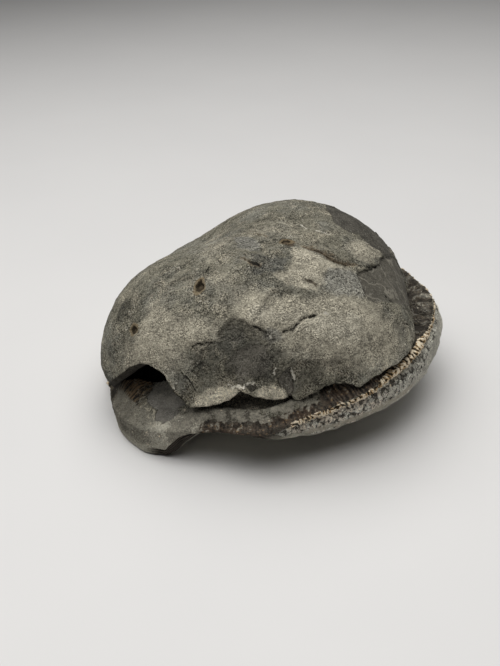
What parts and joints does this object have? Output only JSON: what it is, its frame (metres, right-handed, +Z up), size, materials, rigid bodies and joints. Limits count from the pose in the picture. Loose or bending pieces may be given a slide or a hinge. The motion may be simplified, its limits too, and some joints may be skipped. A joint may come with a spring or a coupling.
{
  "type": "fossil ammonite",
  "caption": "Coiled fossil shell with a corded keel in a split grey concretion, with the loose upper half of the stone lying on it.",
  "frame": {"origin": "middle of the specimen's footprint, on the surface that it rests on", "axes": "+X towards the raised side of the tilted coil, away from the body chamber's end, +Y to the back, +Z up"},
  "size_m": [0.1002, 0.0966, 0.049],
  "materials": {
    "fossil_shell": "dark brown ribbed shell turned to stone, cream and golden calcite on its keel, grey matrix on its flanks and under it",
    "grey_concretion": "matt olive grey fine-grained siltstone with tan stains and smooth dark flake scars"
  },
  "bodies": {
    "root": {"ammonite": "fossil_shell", "nodule_cap": "grey_concretion"}
  },
  "joints": []
}
